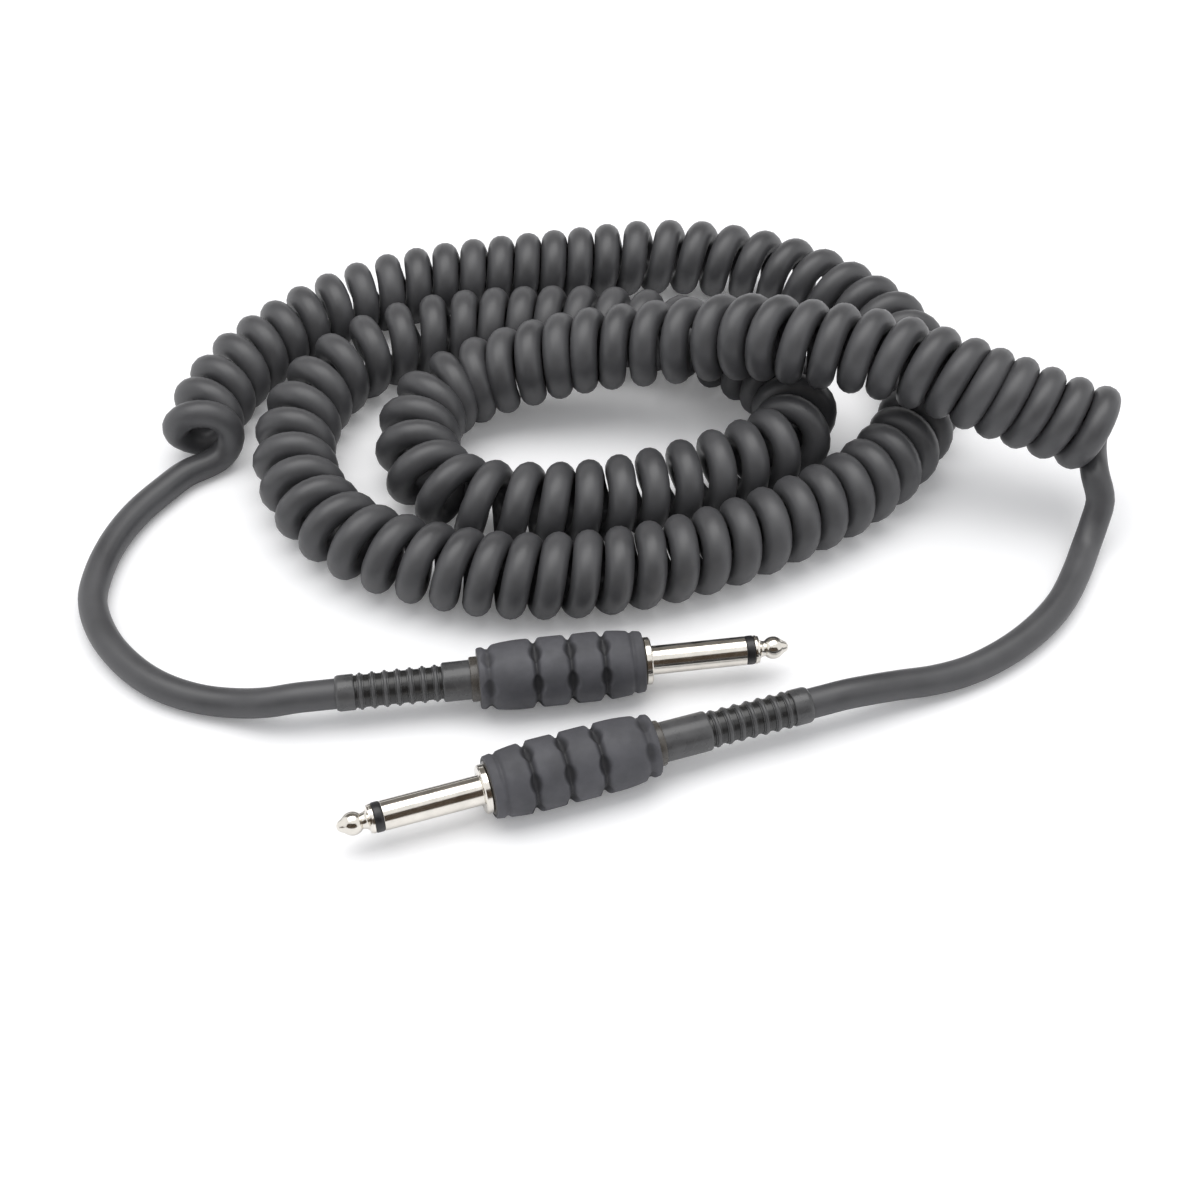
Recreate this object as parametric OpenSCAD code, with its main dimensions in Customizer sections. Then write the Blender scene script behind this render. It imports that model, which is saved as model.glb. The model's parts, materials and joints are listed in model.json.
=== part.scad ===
// Coiled instrument cable with two straight 6.35 mm plugs, laid on a table in a spiral.
// Millimetres, +Z up, the table at z = 0, the origin under the middle of the two plugs.
// A plug is drawn standing on +Z, with its shoulder at 0 and its tip up, and then laid down.

/* [Plug shaft] */
// Diameter of the shaft that goes into the socket
shaft_d = 6.35; // [6.25:0.05:6.45]
// Length from the shoulder to the end of the tip
shaft_len = 30.5; // [29.5:0.1:31.5]
// Length of the tip contact in front of the insulating ring
tip_len = 7.7; // [7.2:0.1:8.4]
// Length of the black insulating ring
ring_len = 1.8; // [1.2:0.1:2.4]
// Diameter of the ball on the tip contact
ball_d = 5; // [4.6:0.1:5.4]
// Diameter of the neck behind the ball
neck_d = 3.4; // [3:0.1:3.8]
// Diameter of the rod that carries the tip contact
rod_d = 2.4; // [2:0.1:2.6]
// Wall of the insulating tube round the rod
tube_wall = 0.8; // [0.5:0.1:1]

/* [Plug body] */
// Diameter of the collar that seats on the socket
collar_d = 10.4; // [9.6:0.1:11]
// Thickness of the collar
collar_len = 1.5; // [1:0.1:2]
// Diameter of the thread behind the collar
thread_d = 8.4; // [8.1:0.1:8.6]
// Length of the thread
thread_len = 8; // [7:0.5:9]
// Thickness of the sheet metal of both solder lugs
lug_t = 0.6; // [0.4:0.1:0.8]
// Thickness of the insulating washer between the lugs
washer_t = 1; // [0.6:0.1:1.4]
// Length of the tip contact's solder tail
tail_len = 5.5; // [4.5:0.5:6]
// Length of the cable clamp on the ground lug
clamp_len = 4; // [3:0.5:5]

/* [Handle] */
// Length of the handle shell
shell_len = 37.8; // [36:0.2:40]
// Outer diameter of the handle shell
shell_d = 11.6; // [11.4:0.1:12]
// Wall of the handle shell round its inner bore
shell_wall = 0.85; // [0.7:0.05:0.9]
// Distance from the shell's back end to its inner bore
rear_wall = 2.8; // [2.6:0.1:3]
// Diameter of the small ring at the shell's back end, round the boot
rear_d = 9.8; // [9.6:0.1:10.6]
// Largest diameter of the rubber grip
grip_d = 15.2; // [14.6:0.1:16]
// Diameter of the grip's front lip
lip_d = 13.2; // [12.8:0.1:13.8]
// Length of that ring, which the grip leaves bare
bare_len = 1.8; // [1.4:0.1:2]
// Share of the rubber's thickness that the grooves between the grip's pads take away
groove_depth = 0.5; // [0.3:0.05:0.55]
// Hollows round the grip in each groove
hollows = 6; // [4:1:8]
// Turn of plug A's grip about its axis, as it happens to be screwed home
grip_turn_a = 4; // [0:1:60]
// Turn of plug B's grip about its axis
grip_turn_b = 8; // [0:1:60]
// Wall of the insulating liner inside the shell
liner_wall = 0.35; // [0.2:0.05:0.4]

/* [Strain boot] */
// Diameter of the boot's smooth neck
boot_d = 8.6; // [8.2:0.1:9]
// Length of the smooth neck outside the handle, boot pulled out
neck_len = 10.5; // [9:0.1:12]
// Number of ribs
ribs = 7; // [5:1:9]
// Distance from rib to rib
rib_pitch = 2.7; // [2.4:0.1:3]
// Diameter of the ribs
rib_d = 8.1; // [7.8:0.1:8.6]
// Diameter of the boot between the ribs
core_d = 7.3; // [7.1:0.1:7.6]
// Diameter of the boot's end collar
tail_d = 7.9; // [7.6:0.1:8.4]
// Length of the end collar
tail_collar_len = 4.1; // [3:0.1:5]
// How far plug A's boot is pushed into its handle
boot_in_a = 4.5; // [0:0.1:5]
// How far plug B's boot is pushed into its handle
boot_in_b = 0; // [0:0.1:5]

/* [Cord] */
// Diameter of the cord's jacket
cord_d = 6.5; // [6.2:0.1:6.6]
// Wall of the jacket
jacket_wall = 0.7; // [0.5:0.1:0.9]
// Diameter over the insulation of the inner conductor
dielectric_d = 3.8; // [3.4:0.1:4]
// Diameter of the inner conductor
core_wire_d = 1.2; // [0.8:0.1:1.4]
// Straight length of cord behind each boot
stub_len = 8; // [7.5:0.5:9]

/* [Curls] */
// Outer diameter of the curls at plug A's end
first_curl_d = 19.1; // [18.6:0.1:19.4]
// Outer diameter of the curls at plug B's end
last_curl_d = 21.1; // [20.6:0.1:21.3]
// Length of coil for each curl where it lies straight
curl_pitch = 10.1; // [9.3:0.1:11]
// Least space between neighbouring curls on the inside of a turn
curl_gap = 0.9; // [0.8:0.05:1.2]

/* [Fits] */
// Clearance between pieces that are assembled
fit = 0.05; // [0.03:0.01:0.08]
// Clearance where pieces slide or turn on each other
run = 0.06; // [0.04:0.01:0.09]

/* [Hidden] */
$fn = 64;

// Stations along a plug's axis, from the shoulder: forward is positive
ring_front = shaft_len - tip_len;
ring_back = ring_front - ring_len;
boss_back = -(collar_len + thread_len);
ground_back = boss_back - fit - lug_t;
washer_back = ground_back - fit - washer_t;
tip_lug_back = washer_back - fit - lug_t;
rivet_len = 0.7;
rivet_r = rod_d / 2 + 0.6;
tip_lug_r = rivet_r + 0.1 + lug_t;
shell_front = -(collar_len + 0.1);
shell_back = shell_front - shell_len;
grip_back = shell_back + bare_len;
inner_back = shell_back + rear_wall;
boot_len = neck_len + ribs * rib_pitch + tail_collar_len;

// Radii inside the plug
bore_r = rod_d / 2 + fit + tube_wall + fit;
shell_bore_r = shell_d / 2 - shell_wall;
liner_r = shell_bore_r - fit;
liner_front = boss_back - 1;
liner_back = inner_back + 6.5;
flange_r = shell_bore_r - run;
flange_len = 1.2;
shield_r = cord_d / 2 - jacket_wall - fit;

// Stations of the stripped cord inside the handle
wire_front = tip_lug_back - tail_len + 1.5;
dielectric_front = wire_front - 2.5;
shield_front = dielectric_front - 3;
jacket_front = shield_front - 2;
clamp_front = jacket_front - 0.5;

// Where the plugs lie: shoulder position, height of the axis and heading of the tip
axis_h = grip_d / 2 + 0.1;
a_shoulder = [16.5, 19.7];
a_turn = 8;
b_shoulder = [-19.04, -15.85];
b_turn = 198.5;

// Axis of the coil from plug A's end to plug B's: x, y and how far it is lifted off the table
COIL_AXIS = [
    [-88.5, 87.5, 0], [-90.5, 93.5, 0], [-89, 101.5, 0], [-84.5, 113.5, 0], [-76.5, 124.5, 0],
    [-66.5, 134.5, 0], [-54, 143, 0], [-40, 148.5, 0], [-26, 152, 0], [-12, 154.5, 0],
    [2, 157, 0], [16, 159.5, 0], [30, 159.5, 0], [44, 156.5, 0], [57, 151, 0],
    [69, 142, 0], [78.5, 131.5, 0], [83.5, 119.5, 0], [84.5, 106.5, 0], [81.5, 93.5, 0],
    [74.5, 81.5, 0], [64.5, 71, 0], [51, 62, 0], [35.5, 53.5, 0], [18, 47, 0],
    [0, 43.5, 0], [-18, 43.5, 0], [-35, 47.5, 0], [-50, 54.5, 0], [-61.5, 66.5, 0],
    [-67, 81.5, 0], [-66.5, 95.5, 0], [-62, 108, 0], [-53.5, 118.5, 0], [-42, 125.5, 0],
    [-28, 129.5, 0], [-12, 131, 0], [4, 131, 0], [19.5, 129, 0], [33, 123.5, 0],
    [45, 114, 0], [52, 102.5, 0], [52, 91, 0], [44.5, 83, 0], [31.5, 76, 0],
    [17, 70, 0], [2, 66, 0], [-13, 65.5, 0], [-26, 68, 0], [-35.5, 77, 0],
    [-38, 89, 0], [-35, 100.5, 0], [-25.5, 108, 1], [-13, 109.5, 5], [1, 110.5, 8.5],
    [14, 110.5, 10.5], [26, 108.5, 13.5], [36, 105.5, 17], [46, 101, 20.5], [56, 97.5, 21.5],
    [67, 94.5, 22], [77.9, 90.3, 21.8], [86.2, 86.7, 21.2], [93.4, 83.5, 20], [101.2, 81, 18.3],
    [108.8, 78.9, 16.4], [115.3, 77.2, 14.7], [122.2, 75.8, 12.9]
];

// Free stretches of cord between a plug and the coil: x, y and height of the cord's centre
LEAD_A = [
    [-66, 9, 6.2], [-73, 10.5, 4.2], [-81.5, 12.5, 3.3], [-91, 16.5, 3.25], [-99.5, 23.5, 3.25],
    [-106, 32.5, 3.25], [-109.5, 42, 3.25], [-109.5, 51, 3.25], [-107.5, 61, 3.25],
    [-103.5, 70.5, 3.25], [-98.5, 78, 3.25]
];
LEAD_B = [
    [63.2, 11.8, 7], [70.5, 14.5, 5.6], [78.3, 17.1, 4.2], [85.8, 20.3, 3.4], [93.9, 25.1, 3.25],
    [102, 31.8, 3.25], [109, 40, 3.25], [115.2, 51.5, 3.25], [118.2, 58.5, 3.9], [120.3, 63, 7.2],
    [121.4, 65.8, 11.5]
];

PLUG_PIECES = [
    "tip_contact", "tip_insulator", "rod_insulator", "sleeve", "ground_lug", "lug_washer",
    "tip_lug", "handle_shell", "handle_grip", "shell_liner", "strain_boot", "cord_jacket",
    "cord_shield", "cord_dielectric", "cord_wire", "tip_solder", "ground_solder"
];

// ---- Helpers ----

function unit(v) = v / norm(v);
function mix(a, b, t) = a + (b - a) * t;

// Lays a plug down: its own +Z becomes the heading of its tip
module place(side) {
    at = side == "a" ? a_shoulder : b_shoulder;
    translate([at[0], at[1], axis_h])
        rotate([0, 0, side == "a" ? a_turn : b_turn])
            rotate([0, 90, 0])
                children();
}

// A point on a plug's axis, at a station behind its shoulder
function on_axis(side, station) =
    let (at = side == "a" ? a_shoulder : b_shoulder, turn = side == "a" ? a_turn : b_turn)
    [at[0] + station * cos(turn), at[1] + station * sin(turn), axis_h];

// A round tube or rod between two stations
module ring(outer_r, inner_r, low, high) {
    difference() {
        translate([0, 0, low]) cylinder(r = outer_r, h = high - low);
        if (inner_r > 0)
            translate([0, 0, low - 1]) cylinder(r = inner_r, h = high - low + 2);
    }
}

// Part of a tube's wall, an angle wide, with its middle towards the plug's underside
module shoe(outer_r, inner_r, angle, low, high) {
    translate([0, 0, low])
        rotate([0, 0, -angle / 2])
            rotate_extrude(angle = angle)
                translate([inner_r, 0])
                    square([outer_r - inner_r, high - low]);
}

// ---- Contacts ----

// Tip contact: flared seat, neck, ball and nose, on a rod that is riveted behind the lug
module tip_contact() {
    ball_r = ball_d / 2;
    neck_r = neck_d / 2;
    ball_at = ring_front + tip_len * 0.56;
    nose_r = 1.1;
    round_from = -acos(neck_r / ball_r);
    color("gainsboro") {
        rotate_extrude()
            polygon(concat(
                [[0, ring_front], [shaft_d / 2 - fit, ring_front],
                 [shaft_d / 2 - fit, ring_front + 0.5], [neck_r, ring_front + 2]],
                [for (a = [round_from : 12 : 50]) [ball_r * cos(a), ball_at + ball_r * sin(a)]],
                [[nose_r + 0.2, shaft_len - 0.8], [nose_r * 0.7, shaft_len - 0.2],
                 [nose_r * 0.3, shaft_len], [0, shaft_len]]
            ));
        ring(rod_d / 2, 0, tip_lug_back - rivet_len, ring_front + 0.5);
        ring(rivet_r, 0, tip_lug_back - rivet_len, tip_lug_back - fit);
    }
}

// Black ring that parts the tip contact from the sleeve
module tip_insulator() {
    color("black") ring(shaft_d / 2 - fit / 2, rod_d / 2 + fit, ring_back + fit, ring_front - fit);
}

// Insulating tube between the rod and the sleeve
module rod_insulator() {
    color("ivory") ring(bore_r - fit, rod_d / 2 + fit, ground_back, ring_back);
}

// Sleeve contact: shaft, collar and threaded boss in one turned piece
module sleeve() {
    relief = 0.4;
    color("silver") difference() {
        union() {
            ring(shaft_d / 2, 0, -collar_len, ring_back);
            ring(collar_d / 2, 0, -collar_len, 0);
            ring(thread_d / 2, 0, boss_back, -collar_len);
        }
        translate([0, 0, boss_back - 1]) cylinder(r = bore_r, h = ring_back - boss_back + 2);
        ring(thread_d, thread_d / 2 - relief, -collar_len - 1.2, -collar_len - 0.4);
    }
}

// Ground lug: ring on the boss, tongue under the cord and clamp round the jacket
module ground_lug() {
    shoe_r = cord_d / 2 + fit;
    thinned = 0.05;
    color("lightgray") {
        ring(thread_d / 2 - 0.1, bore_r, ground_back, boss_back - fit);
        shoe(shoe_r + lug_t - thinned, shoe_r + thinned, 60, clamp_front - 1, ground_back + lug_t / 2);
        shoe(shoe_r + lug_t, shoe_r, 230, clamp_front - clamp_len, clamp_front);
    }
}

// Insulating washer between the two lugs
module lug_washer() {
    color("saddlebrown") ring(cord_d / 2 - fit, rod_d / 2 + fit, washer_back, ground_back - fit);
}

// Tip lug: washer under the rivet, with a tail for the inner conductor
module tip_lug() {
    color("lightgray") difference() {
        union() {
            ring(tip_lug_r, 0, tip_lug_back, washer_back - fit);
            tip_tail(0);
        }
        ring(rod_d / 2 + fit, 0, tip_lug_back - 0.5, washer_back + 1);
    }
}

// The solder tail, made larger all round by a clearance
module tip_tail(more) {
    width = 2.4;
    back = tip_lug_back - tail_len;
    translate([-tip_lug_r - more, -width / 2 - more, back - more])
        cube([lug_t + 2 * more, width + 2 * more, tail_len + lug_t + more]);
}

// ---- Handle ----

// Hard shell with the female thread in front and the boot's hole at the back
module handle_shell() {
    color("dimgray") difference() {
        union() {
            ring(shell_d / 2, 0, grip_back, shell_front);
            ring(rear_d / 2, 0, shell_back, grip_back + 0.1);
        }
        ring(thread_d / 2 + run, 0, boss_back - 0.5, shell_front + 1);
        ring(shell_bore_r, 0, inner_back, boss_back - 0.5);
        ring(boot_d / 2 + run, 0, shell_back - 1, inner_back + 1);
    }
}

// Radius of the grip at a share of its length, from the lip to the back
function grip_r(t) =
    let (r = grip_d / 2, lip = lip_d / 2, back = shell_d / 2 + 0.8)
    t < 0.3 ? mix(lip, r, sin(90 * t / 0.3)) : t < 0.72 ? r : mix(back, r, cos(90 * (t - 0.72) / 0.28));

// Rubber grip: a barrel of four pads, parted by grooves that deepen into hollows
module handle_grip(turn) {
    length = shell_front - 0.1 - grip_back;
    front = grip_back + length;
    steps = 24;
    grooves = [0.067, 0.242, 0.446, 0.655, 0.939];
    groove_r = 1.1;
    hollow_r = 1.7;
    color("#4c4c50") difference() {
        rotate_extrude()
            polygon(concat(
                [[shell_d / 2 + fit, front], [shell_d / 2 + fit, grip_back]],
                [for (k = [steps : -1 : 0]) [grip_r(k / steps), front - length * k / steps]]
            ));
        for (g = grooves)
            let (depth = (grip_r(g) - shell_d / 2) * groove_depth * (g < 0.1 ? 0.5 : 1))
            translate([0, 0, front - g * length])
                rotate_extrude()
                    translate([grip_r(g) + groove_r - depth, 0])
                        circle(r = groove_r);
        for (k = [1 : len(grooves) - 1], h = [0 : hollows - 1])
            let (depth = (grip_r(grooves[k]) - shell_d / 2) * 0.62)
            translate([0, 0, front - grooves[k] * length])
                rotate([0, 0, turn + 360 * h / hollows])
                    translate([grip_r(grooves[k]) + hollow_r - depth, 0, 0])
                        rotate([90, 0, 0])
                            cylinder(r = hollow_r, h = 4.6, center = true);
    }
}

// Thin insulating tube that keeps the lugs off the shell
module shell_liner() {
    color("oldlace") ring(liner_r, liner_r - liner_wall, liner_back, liner_front);
}

// Flexible boot: flange inside the shell, smooth neck, ribs and end collar, bored for the cord
module strain_boot(pushed_in) {
    seat = inner_back + run + pushed_in;
    back = shell_back - boot_len + pushed_in;
    ribs_from = shell_back - neck_len + pushed_in;
    rib_w = rib_pitch * 0.52;
    color("#33333a") difference() {
        union() {
            ring(flange_r, 0, seat, seat + flange_len);
            ring(boot_d / 2, 0, ribs_from, seat + flange_len);
            ring(core_d / 2, 0, back, ribs_from);
            for (k = [0 : ribs - 1])
                translate([0, 0, ribs_from - (k + 0.74) * rib_pitch])
                    cylinder(r = rib_d / 2, h = rib_w);
            translate([0, 0, back]) cylinder(r1 = tail_d / 2 - 0.3, r2 = tail_d / 2, h = 0.8);
            translate([0, 0, back + 0.8]) cylinder(r = tail_d / 2, h = tail_collar_len - 0.8);
        }
        translate([0, 0, back - 1]) cylinder(r = cord_d / 2 + run, h = seat - back + flange_len + 2);
    }
}

function boot_in(side) = side == "a" ? boot_in_a : boot_in_b;

// Station of the square end of the straight cord behind a boot
function stub_back(side) = shell_back - boot_len + boot_in(side) - stub_len;

// ---- Cord inside the plug ----

// Jacket of the cord's end
module cord_jacket(side) {
    color("#55555a") ring(cord_d / 2, cord_d / 2 - jacket_wall, stub_back(side), jacket_front);
}

// Braided shield
module cord_shield(side) {
    color("peru") ring(shield_r, dielectric_d / 2 + fit, stub_back(side), shield_front);
}

// Insulation round the inner conductor
module cord_dielectric(side) {
    color("white") ring(dielectric_d / 2, core_wire_d / 2 + fit, stub_back(side), dielectric_front);
}

// Inner conductor
module cord_wire(side) {
    color("darkorange") ring(core_wire_d / 2, 0, stub_back(side), wire_front);
}

// Solder between the inner conductor and the tip lug's tail
module tip_solder() {
    lug_face = tip_lug_r - lug_t - fit;
    color("lightslategray") difference() {
        translate([-lug_face, 0, wire_front - 1]) rotate([0, 90, 0]) cylinder(r = 0.75, h = lug_face - 0.3);
        ring(core_wire_d / 2 + fit, 0, wire_front - 4, wire_front + 2);
    }
}

// Solder between the shield and the ground lug's tongue
module ground_solder() {
    color("lightslategray") intersection() {
        translate([(shield_r + cord_d / 2) / 2, 0, shield_front - 1]) sphere(r = 0.95);
        ring(cord_d / 2 - 0.02, shield_r + fit, jacket_front + 0.1, shield_front + 1);
    }
}

// ---- Free cord ----

// Catmull-Rom curve through a list of points, with a number of steps for each span
function spline(p, per) = concat(
    [for (i = [0 : len(p) - 2])
        let (a = p[max(i - 1, 0)], b = p[i], c = p[i + 1], d = p[min(i + 2, len(p) - 1)])
        for (k = [0 : per - 1])
            let (t = k / per)
            0.5 * (2 * b + (c - a) * t + (2 * a - 5 * b + 4 * c - d) * t * t
                + (3 * b - a - 3 * c + d) * t * t * t)],
    [p[len(p) - 1]]
);

// The coil's axis as a fine curve; a curl's radius grows evenly along it
axis_pts = spline([
    for (i = [0 : len(COIL_AXIS) - 1])
        let (p = COIL_AXIS[i])
        [p[0], p[1], p[2] + mix(first_curl_d, last_curl_d, i / (len(COIL_AXIS) - 1)) / 2]
], 8);
axis_n = len(axis_pts) - 1;
function axis_at(u) =
    let (v = min(max(u, 0), axis_n), i = min(floor(v), axis_n - 1))
    mix(axis_pts[i], axis_pts[i + 1], v - i);
function heading_at(u) = unit(axis_at(u + 3) - axis_at(u - 3));
function curl_r(u) = (mix(first_curl_d, last_curl_d, u / axis_n) - cord_d) / 2;

// How sharply the axis bends, per millimetre, and the room that a curl takes there
function bend_at(u) =
    let (a = axis_at(u - 6), b = axis_at(u), c = axis_at(u + 6))
    a == b || b == c ? 0 : norm(unit(c - b) - unit(b - a)) / (norm(c - a) / 2);
function pitch_at(u) = max(curl_pitch, (cord_d + curl_gap) / (1 - bend_at(u) * curl_r(u)));
turn_sums = [
    for (i = 0, turns = 0; i <= axis_n;
        turns = turns + norm(axis_at(i + 1) - axis_at(i)) / pitch_at(i + 0.5), i = i + 1)
        turns
];
curls = round(turn_sums[axis_n]);
turn_table = [for (i = [0 : axis_n]) [turn_sums[i] * curls / turn_sums[axis_n], i]];

// The cord's centre after some turns, counted from under the axis
function outward(turn) =
    let (ahead = heading_at(lookup(turn, turn_table)), left = unit(cross([0, 0, 1], ahead)))
    -cos(360 * turn) * cross(ahead, left) - sin(360 * turn) * left;
function curl_at(turn) =
    let (u = lookup(turn, turn_table))
    axis_at(u) + curl_r(u) * outward(turn);

rings_per_curl = 8;
curl_sides = 6;
curl_pts = [for (k = [0 : curls * rings_per_curl]) curl_at(k / rings_per_curl)];

// Directions in which the cord leaves the first and the last curl, level and square to its face
function level(v) = unit([v[0], v[1], 0]);
start_dir = level(curl_at(0) - curl_at(0.06));
end_dir = level(curl_at(curls) - curl_at(curls - 0.06));
start_face = curl_pts[0] + start_dir * cord_d;
end_face = curl_pts[len(curl_pts) - 1] + end_dir * cord_d;

// A closed tube of flat triangles round a list of points, with a first normal for each ring
module tube(pts, ahead, normals, sides, r) {
    n = len(pts);
    verts = [
        for (i = [0 : n - 1])
            let (t = ahead[i], u = unit(normals[i] - (normals[i] * t) * t), v = cross(t, u))
            for (j = [0 : sides - 1])
                pts[i] + r * (cos(360 * j / sides) * u + sin(360 * j / sides) * v)
    ];
    walls = [
        for (i = [0 : n - 2], j = [0 : sides - 1])
            let (a = i * sides + j, b = i * sides + (j + 1) % sides)
            for (f = [[a, b + sides, b], [a, a + sides, b + sides]]) f
    ];
    caps = [
        for (j = [1 : sides - 2])
            for (f = [[0, j, j + 1], [(n - 1) * sides, (n - 1) * sides + j + 1, (n - 1) * sides + j]]) f
    ];
    polyhedron(verts, concat(walls, caps));
}

// Directions along a list of points, with the first and the last one given
function along(pts, first, last) = [
    for (i = [0 : len(pts) - 1])
        i == 0 ? first : i == len(pts) - 1 ? last : unit(pts[i + 1] - pts[i - 1])
];

// The curly stretch: one unbroken tube, with a straight end of one cord diameter at each end
module cord_curls() {
    pts = concat([start_face], curl_pts, [end_face]);
    outs = concat([[0, 0, -1]], [for (k = [0 : curls * rings_per_curl]) outward(k / rings_per_curl)],
        [[0, 0, -1]]);
    ahead = [
        for (i = [0 : len(pts) - 1])
            i <= 1 ? -start_dir : i >= len(pts) - 2 ? end_dir : unit(pts[i + 1] - pts[i - 1])
    ];
    color("#4e4e52") tube(pts, ahead, outs, curl_sides, cord_d / 2);
}

// A free stretch from the straight cord behind a boot to the coil's end face
module cord_lead(side) {
    start = on_axis(side, stub_back(side));
    back = start - on_axis(side, 0);
    face = side == "a" ? start_face : end_face;
    into = side == "a" ? -start_dir : -end_dir;
    pts = concat([start], side == "a" ? LEAD_A : LEAD_B, [face]);
    color("#5a5a60")
        tube(pts, along(pts, unit(back), into), [for (p = pts) [0, 0, 1]], 8, cord_d / 2);
}

// Least space between two stretches of the curly cord that aren't next to each other along it
curl_steps = len(curl_pts) - 1;
least_gap = min([
    for (i = [0 : curl_steps - 5], j = [i + 5 : curl_steps])
        let (d = curl_pts[i] - curl_pts[j])
        abs(d[2]) < 12 && abs(d[0]) < 12 && abs(d[1]) < 12 ? norm(d) - cord_d : 99
]);
curl_runs = [for (i = 1, s = 0; i <= curl_steps; s = s + norm(curl_pts[i] - curl_pts[i - 1]), i = i + 1) s];
echo(curls = curls, least_gap = least_gap, cord_in_curls = curl_runs[curl_steps - 1]);

// ---- Nodes ----

module piece(name, side) {
    if (name == "tip_contact") tip_contact();
    if (name == "tip_insulator") tip_insulator();
    if (name == "rod_insulator") rod_insulator();
    if (name == "sleeve") sleeve();
    if (name == "ground_lug") ground_lug();
    if (name == "lug_washer") lug_washer();
    if (name == "tip_lug") tip_lug();
    if (name == "handle_shell") handle_shell();
    if (name == "handle_grip") handle_grip(side == "a" ? grip_turn_a : grip_turn_b);
    if (name == "shell_liner") shell_liner();
    if (name == "strain_boot") strain_boot(boot_in(side));
    if (name == "cord_jacket") cord_jacket(side);
    if (name == "cord_shield") cord_shield(side);
    if (name == "cord_dielectric") cord_dielectric(side);
    if (name == "cord_wire") cord_wire(side);
    if (name == "tip_solder") tip_solder();
    if (name == "ground_solder") ground_solder();
}

for (side = ["a", "b"], name = PLUG_PIECES)
    place(side) piece(name, side);
cord_lead("a");  // cord_lead_a
cord_curls();
cord_lead("b");  // cord_lead_b
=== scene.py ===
"""Looks of a coiled instrument cable with two straight jack plugs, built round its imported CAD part.

Blender 4.5. Lengths in the tables below are millimetres and become metres in the meshes. A plug is modelled
standing on +Z, with its shoulder at 0, its tip up and +X towards the table, and is then laid down on its place.
"""

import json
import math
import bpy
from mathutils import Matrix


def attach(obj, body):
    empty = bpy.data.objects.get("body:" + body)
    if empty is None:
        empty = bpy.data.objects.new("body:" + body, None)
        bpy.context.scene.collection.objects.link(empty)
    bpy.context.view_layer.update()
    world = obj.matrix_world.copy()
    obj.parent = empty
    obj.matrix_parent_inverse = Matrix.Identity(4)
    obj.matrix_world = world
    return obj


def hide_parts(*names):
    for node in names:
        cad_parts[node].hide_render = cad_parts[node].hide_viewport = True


bl_info = {
    "name": "Coiled instrument cable",
    "version": (1, 0, 0),
    "blender": (4, 5, 0),
    "location": "View3D > Sidebar > Cable",
    "description": "Builds the cord, plugs, handles, boots and finishes of a coiled instrument cable",
    "category": "Object",
}

import bmesh
import bpy
from mathutils import Matrix, Vector

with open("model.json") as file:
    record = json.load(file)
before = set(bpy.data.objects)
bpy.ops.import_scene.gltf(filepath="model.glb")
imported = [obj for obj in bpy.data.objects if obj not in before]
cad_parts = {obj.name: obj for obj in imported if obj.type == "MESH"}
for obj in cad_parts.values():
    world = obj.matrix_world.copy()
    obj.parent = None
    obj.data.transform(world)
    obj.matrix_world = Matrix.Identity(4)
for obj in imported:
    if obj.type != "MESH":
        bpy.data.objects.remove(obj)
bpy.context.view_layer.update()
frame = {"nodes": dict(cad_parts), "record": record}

MM = 0.001
SIDES = ("a", "b")
SHAFT_MIDDLE = 11.65  # station of the mount's point on a plug's axis
CORD_D = 6.5  # nominal diameter of the cord
STUB = 8.0  # straight cord behind a boot

# The camera: place in metres, tilt in degrees from straight down, focal length on a 36 mm sensor
CAMERA_AT = (0.0055, -0.2786, 0.3446)
CAMERA_TILT = 43.2
CAMERA_LENS = 61.98

# Stations along a plug's axis, from its shoulder, as the CAD part has them
TIP_END = 30.5
RING_FRONT = 22.8
RING_BACK = 21.0
BOSS_BACK = -9.5
LUG_BACK = -11.85
SHELL_FRONT = -1.6
SHELL_BACK = -39.4
INNER_BACK = -36.6
GRIP_BACK = -37.6
GRIP_FRONT = -1.7
BOOT_LENGTH = 33.5
BOOT_IN = {"a": 4.5, "b": 0.0}  # how much further boot A sits in its handle
GRIP_TURN = {"a": 4.0, "b": 8.0}  # degrees that a grip is turned on its plug

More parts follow.
